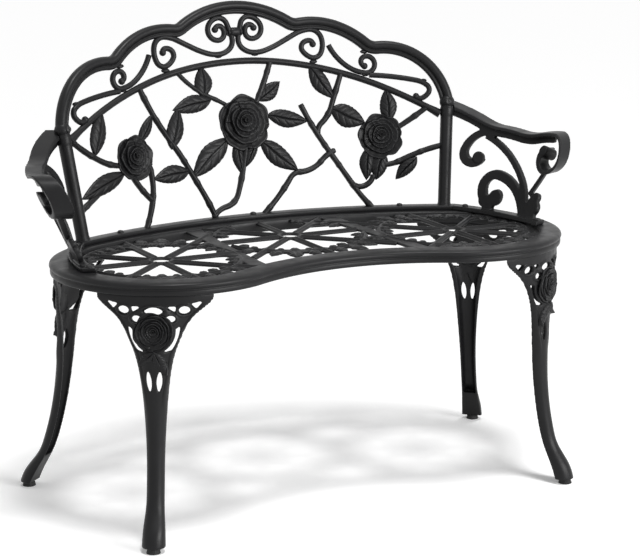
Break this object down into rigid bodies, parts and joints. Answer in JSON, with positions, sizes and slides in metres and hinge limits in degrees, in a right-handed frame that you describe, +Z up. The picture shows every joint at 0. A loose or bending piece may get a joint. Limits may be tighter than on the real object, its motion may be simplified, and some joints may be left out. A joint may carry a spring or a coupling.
{
  "type": "garden bench",
  "caption": "Black cast metal two-seat garden bench with a kidney-shaped lattice seat, lobed rose-vine back, scrolled arms and cabriole legs on levelling feet.",
  "frame": {"origin": "on the floor under the middle of the bench's box", "axes": "+X along the bench to the sitter's left, +Y towards the back, +Z up"},
  "size_m": [1.046, 0.5771, 0.8425],
  "materials": {
    "black_casting": "satin",
    "black_bolt": "satin",
    "stud_steel": "brushed",
    "pad_plastic": "matte"
  },
  "bodies": {
    "bench_frame": {"seat_rim": "black_casting", "seat_wheel_left": "black_casting", "seat_wheel_centre": "black_casting", "seat_wheel_right": "black_casting", "back_flange": "black_casting", "back_hoop": "black_casting", "back_rail": "black_casting", "scroll_collar": "black_casting", "scroll_left": "black_casting", "scroll_right": "black_casting", "rose_left": "black_casting", "rose_centre": "black_casting", "rose_right": "black_casting", "vine_left_upper": "black_casting", "vine_left_lower": "black_casting", "vine_left_trunk": "black_casting", "vine_centre_upper": "black_casting", "vine_centre_lower": "black_casting", "vine_right_trunk": "black_casting", "vine_right_branch": "black_casting", "vine_right_side": "black_casting", "arm_left": "black_casting", "arm_right": "black_casting", "leg_front_left": "black_casting", "leg_front_right": "black_casting", "leg_rear_left": "black_casting", "leg_rear_right": "black_casting", "back_bolts": "black_bolt", "arm_bolts": "black_bolt", "leg_bolts": "black_bolt"},
    "foot_stud_front_left": {"stud_front_left": "stud_steel"},
    "foot_pad_front_left": {"pad_front_left": "pad_plastic"},
    "foot_stud_front_right": {"stud_front_right": "stud_steel"},
    "foot_pad_front_right": {"pad_front_right": "pad_plastic"},
    "foot_stud_rear_left": {"stud_rear_left": "stud_steel"},
    "foot_pad_rear_left": {"pad_rear_left": "pad_plastic"},
    "foot_stud_rear_right": {"stud_rear_right": "stud_steel"},
    "foot_pad_rear_right": {"pad_rear_right": "pad_plastic"}
  },
  "joints": [
    {"name": "foot_travel_front_left", "type": "slide", "parent": "bench_frame", "child": "foot_stud_front_left", "axis": [0, 0, -1], "range_m": [0, 0.006]},
    {"name": "foot_turn_front_left", "type": "hinge", "parent": "foot_stud_front_left", "child": "foot_pad_front_left", "pos_m": [-0.40325, -0.27292, 0], "axis": [0, 0, -1], "range_deg": [0, 1728]},
    {"name": "foot_travel_front_right", "type": "slide", "parent": "bench_frame", "child": "foot_stud_front_right", "axis": [0, 0, -1], "range_m": [0, 0.006]},
    {"name": "foot_turn_front_right", "type": "hinge", "parent": "foot_stud_front_right", "child": "foot_pad_front_right", "pos_m": [0.40325, -0.27292, 0], "axis": [0, 0, -1], "range_deg": [0, 1728]},
    {"name": "foot_travel_rear_left", "type": "slide", "parent": "bench_frame", "child": "foot_stud_rear_left", "axis": [0, 0, -1], "range_m": [0, 0.006]},
    {"name": "foot_turn_rear_left", "type": "hinge", "parent": "foot_stud_rear_left", "child": "foot_pad_rear_left", "pos_m": [-0.46661, 0.15615, 0], "axis": [0, 0, -1], "range_deg": [0, 1728]},
    {"name": "foot_travel_rear_right", "type": "slide", "parent": "bench_frame", "child": "foot_stud_rear_right", "axis": [0, 0, -1], "range_m": [0, 0.006]},
    {"name": "foot_turn_rear_right", "type": "hinge", "parent": "foot_stud_rear_right", "child": "foot_pad_rear_right", "pos_m": [0.46661, 0.15615, 0], "axis": [0, 0, -1], "range_deg": [0, 1728]}
  ],
  "couplings": [
    {"joint": "foot_travel_front_left", "follows": "foot_turn_front_left", "m_per_rad": 0.00019894},
    {"joint": "foot_travel_front_right", "follows": "foot_turn_front_right", "m_per_rad": 0.00019894},
    {"joint": "foot_travel_rear_left", "follows": "foot_turn_rear_left", "m_per_rad": 0.00019894},
    {"joint": "foot_travel_rear_right", "follows": "foot_turn_rear_right", "m_per_rad": 0.00019894}
  ]
}
